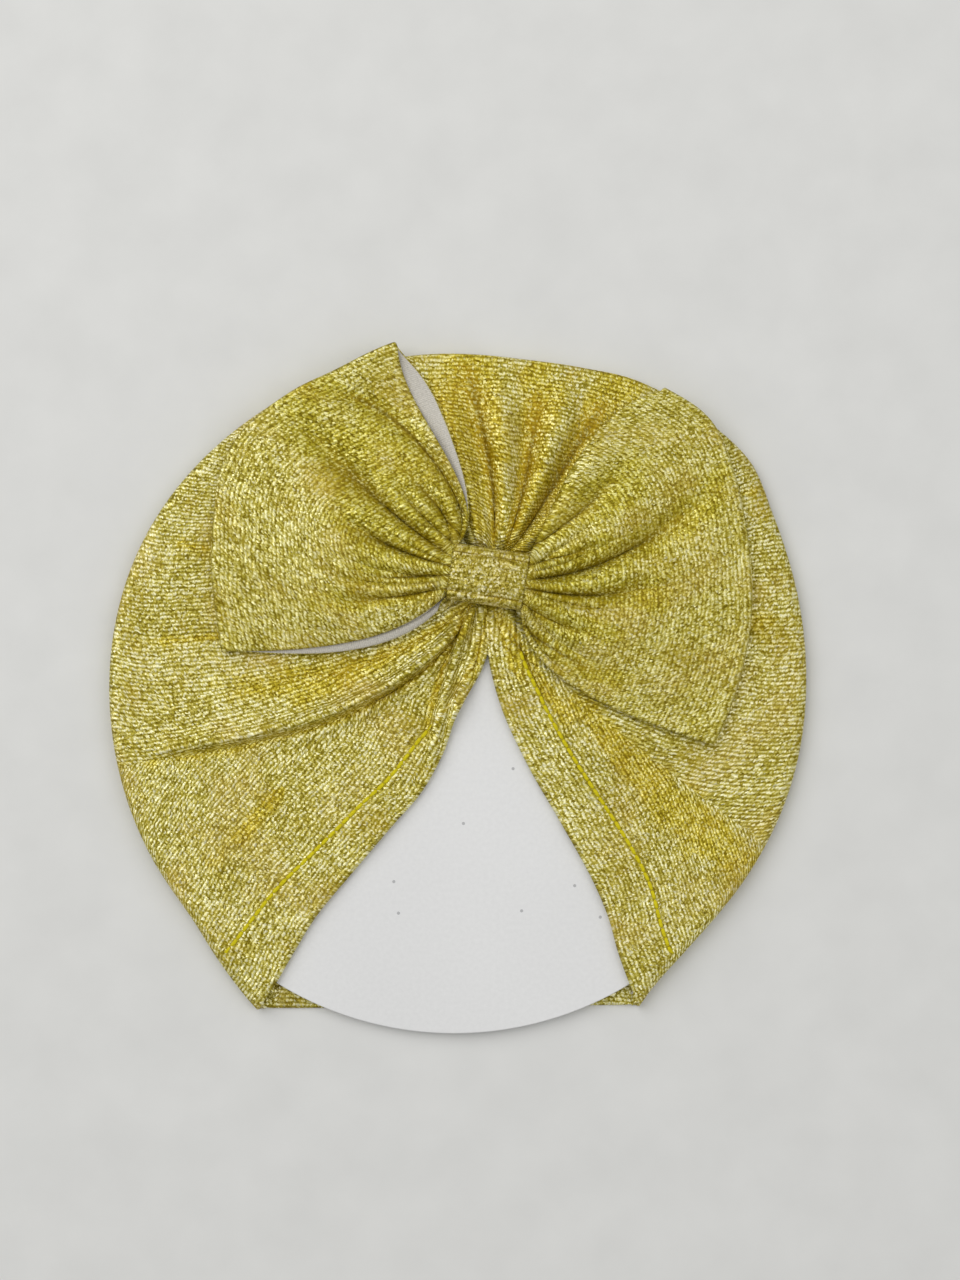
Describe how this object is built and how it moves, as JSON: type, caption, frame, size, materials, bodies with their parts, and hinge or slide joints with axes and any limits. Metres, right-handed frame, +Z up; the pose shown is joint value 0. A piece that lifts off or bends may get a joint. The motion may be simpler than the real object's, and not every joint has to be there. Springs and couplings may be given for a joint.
{
  "type": "turban cap on a round display card",
  "caption": "Child's knit turban cap with a gathered front and a wide flat bow, stretched over a plain round card.",
  "frame": {"origin": "under the middle of the card, on the flat outer face of the cap's back layer, which is the plane it lies on", "axes": "+Z up, out of the front of the cap; +Y from the face opening towards the crown; +X to the right as seen from above"},
  "size_m": [0.1858, 0.184, 0.0141],
  "materials": {
    "gold_knit": "ribbed jersey with metallic yarn",
    "white_card": "smooth matt white card"
  },
  "bodies": {
    "root": {"display_card": "white_card", "cap": "gold_knit", "bow": "gold_knit", "bow_band": "gold_knit"}
  },
  "joints": []
}
